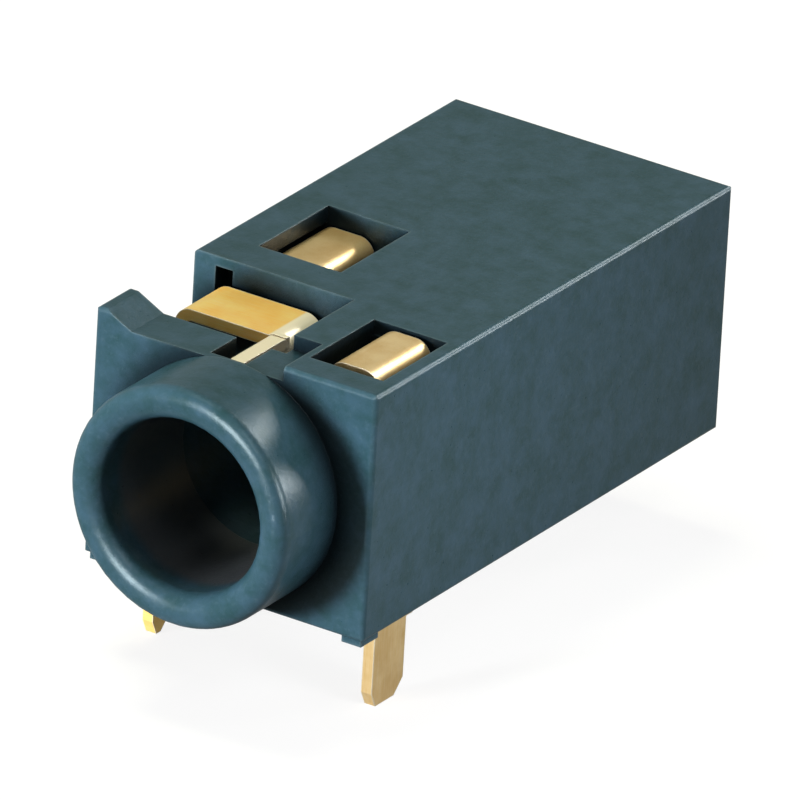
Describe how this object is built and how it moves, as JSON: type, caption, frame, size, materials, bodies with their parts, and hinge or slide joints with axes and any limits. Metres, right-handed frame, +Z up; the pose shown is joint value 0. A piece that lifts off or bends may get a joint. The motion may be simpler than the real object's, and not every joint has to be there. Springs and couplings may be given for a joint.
{
  "type": "audio jack socket",
  "caption": "Moulded board-mount jack socket with a round nose, a guide bore, folded contacts seen through openings in its top, sprung contact leaves and flat solder terminals.",
  "frame": {"origin": "on the plug axis, in the plane of the body's front face", "axes": "+X to the right seen from the nose, +Y to the rear along the plug's way in, +Z up from the board"},
  "size_m": [0.0066, 0.0146, 0.0074],
  "materials": {
    "moulding": "satin moulded",
    "plated_strip": "gold plated",
    "plated_spring": "gold plated"
  },
  "bodies": {
    "socket": {"housing": "moulding", "sleeve_terminal": "plated_strip", "ring_terminal": "plated_strip", "tip_terminal": "plated_strip", "break_terminal": "plated_strip"},
    "sleeve_finger": {"sleeve_spring": "plated_spring"},
    "ring_leaf": {"ring_spring": "plated_spring"},
    "tip_leaf": {"tip_spring": "plated_spring"}
  },
  "joints": [
    {"name": "sleeve_flex", "type": "hinge", "parent": "socket", "child": "sleeve_finger", "pos_m": [-0.00034, 0.002, 0.00205], "axis": [-1, 0, 0], "range_deg": [0, 8], "stiffness_Nm_per_rad": 0.01},
    {"name": "ring_flex", "type": "hinge", "parent": "socket", "child": "ring_leaf", "pos_m": [0.00252, 0.00285, 0], "axis": [0, 0, -1], "range_deg": [0, 4.2], "stiffness_Nm_per_rad": 0.05},
    {"name": "tip_flex", "type": "hinge", "parent": "socket", "child": "tip_leaf", "pos_m": [-0.00237, 0.00675, 0], "axis": [0, 0, 1], "range_deg": [0, 4], "stiffness_Nm_per_rad": 0.05}
  ]
}
